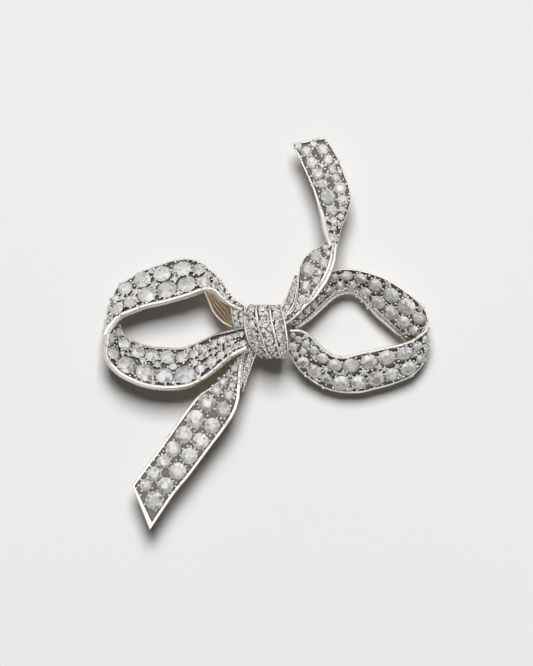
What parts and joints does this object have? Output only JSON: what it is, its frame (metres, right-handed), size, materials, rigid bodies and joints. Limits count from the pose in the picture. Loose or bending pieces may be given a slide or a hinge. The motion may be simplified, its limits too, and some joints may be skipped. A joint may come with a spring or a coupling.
{
  "type": "brooch",
  "caption": "Openwork ribbon-bow brooch: stone-set silver ribbons on gold backs round a folded knot, with a hinged pin and rolling safety catch behind.",
  "frame": {"origin": "centre of the flat back of the gold bar's disc, behind the knot", "axes": "+Z out of the front of the bow, towards the viewer; +Y towards the end of the upper tail; +X to the viewer's right"},
  "size_m": [0.0505, 0.06, 0.0097],
  "materials": {
    "silver": "polished and lightly worn",
    "gold": "satin",
    "pin_gold": "satin",
    "stones": "polished facets"
  },
  "bodies": {
    "bow": {"left_upper_plate": "silver", "left_lower_plate": "silver", "right_upper_plate": "silver", "right_lower_plate": "silver", "lower_tail_plate": "silver", "leaf_plate": "silver", "upper_tail_plate": "silver", "lower_tail_fold_plate": "silver", "leaf_fold_plate": "silver", "left_fold_plate": "silver", "knot_shell": "silver", "left_upper_backing": "gold", "left_lower_backing": "gold", "right_upper_backing": "gold", "right_lower_backing": "gold", "lower_tail_backing": "gold", "leaf_backing": "gold", "upper_tail_backing": "gold", "back_bar": "gold", "leaf_post": "gold", "tail_post": "gold", "hinge_bracket": "gold", "catch_housing": "gold", "left_upper_front_stones": "stones", "left_upper_back_stones": "stones", "left_lower_front_stones": "stones", "left_lower_back_stones": "stones", "right_upper_front_stones": "stones", "right_upper_back_stones": "stones", "right_lower_front_stones": "stones", "right_lower_back_stones": "stones", "lower_tail_left_stones": "stones", "lower_tail_right_stones": "stones", "leaf_left_stones": "stones", "leaf_right_stones": "stones", "upper_tail_left_stones": "stones", "upper_tail_right_stones": "stones", "lower_tail_fold_row_stones": "stones", "leaf_fold_row_stones": "stones", "left_fold_row_stones": "stones", "knot_left_stones": "stones", "knot_middle_stones": "stones", "knot_right_stones": "stones", "hinge_rivet": "pin_gold", "left_turn_lining": "gold"},
    "pin": {"pin_stem": "pin_gold"},
    "roller": {"safety_roller": "pin_gold"}
  },
  "joints": [
    {"name": "pin_hinge", "type": "hinge", "parent": "bow", "child": "pin", "pos_m": [0.00752, 0.00998, -0.002], "axis": [-0.7986, 0.6018, 0], "range_deg": [-75, 0]},
    {"name": "roller_turn", "type": "hinge", "parent": "bow", "child": "roller", "pos_m": [-0.01324, -0.01757, -0.002], "axis": [0.6018, 0.7986, 0], "range_deg": [0, 150]}
  ]
}
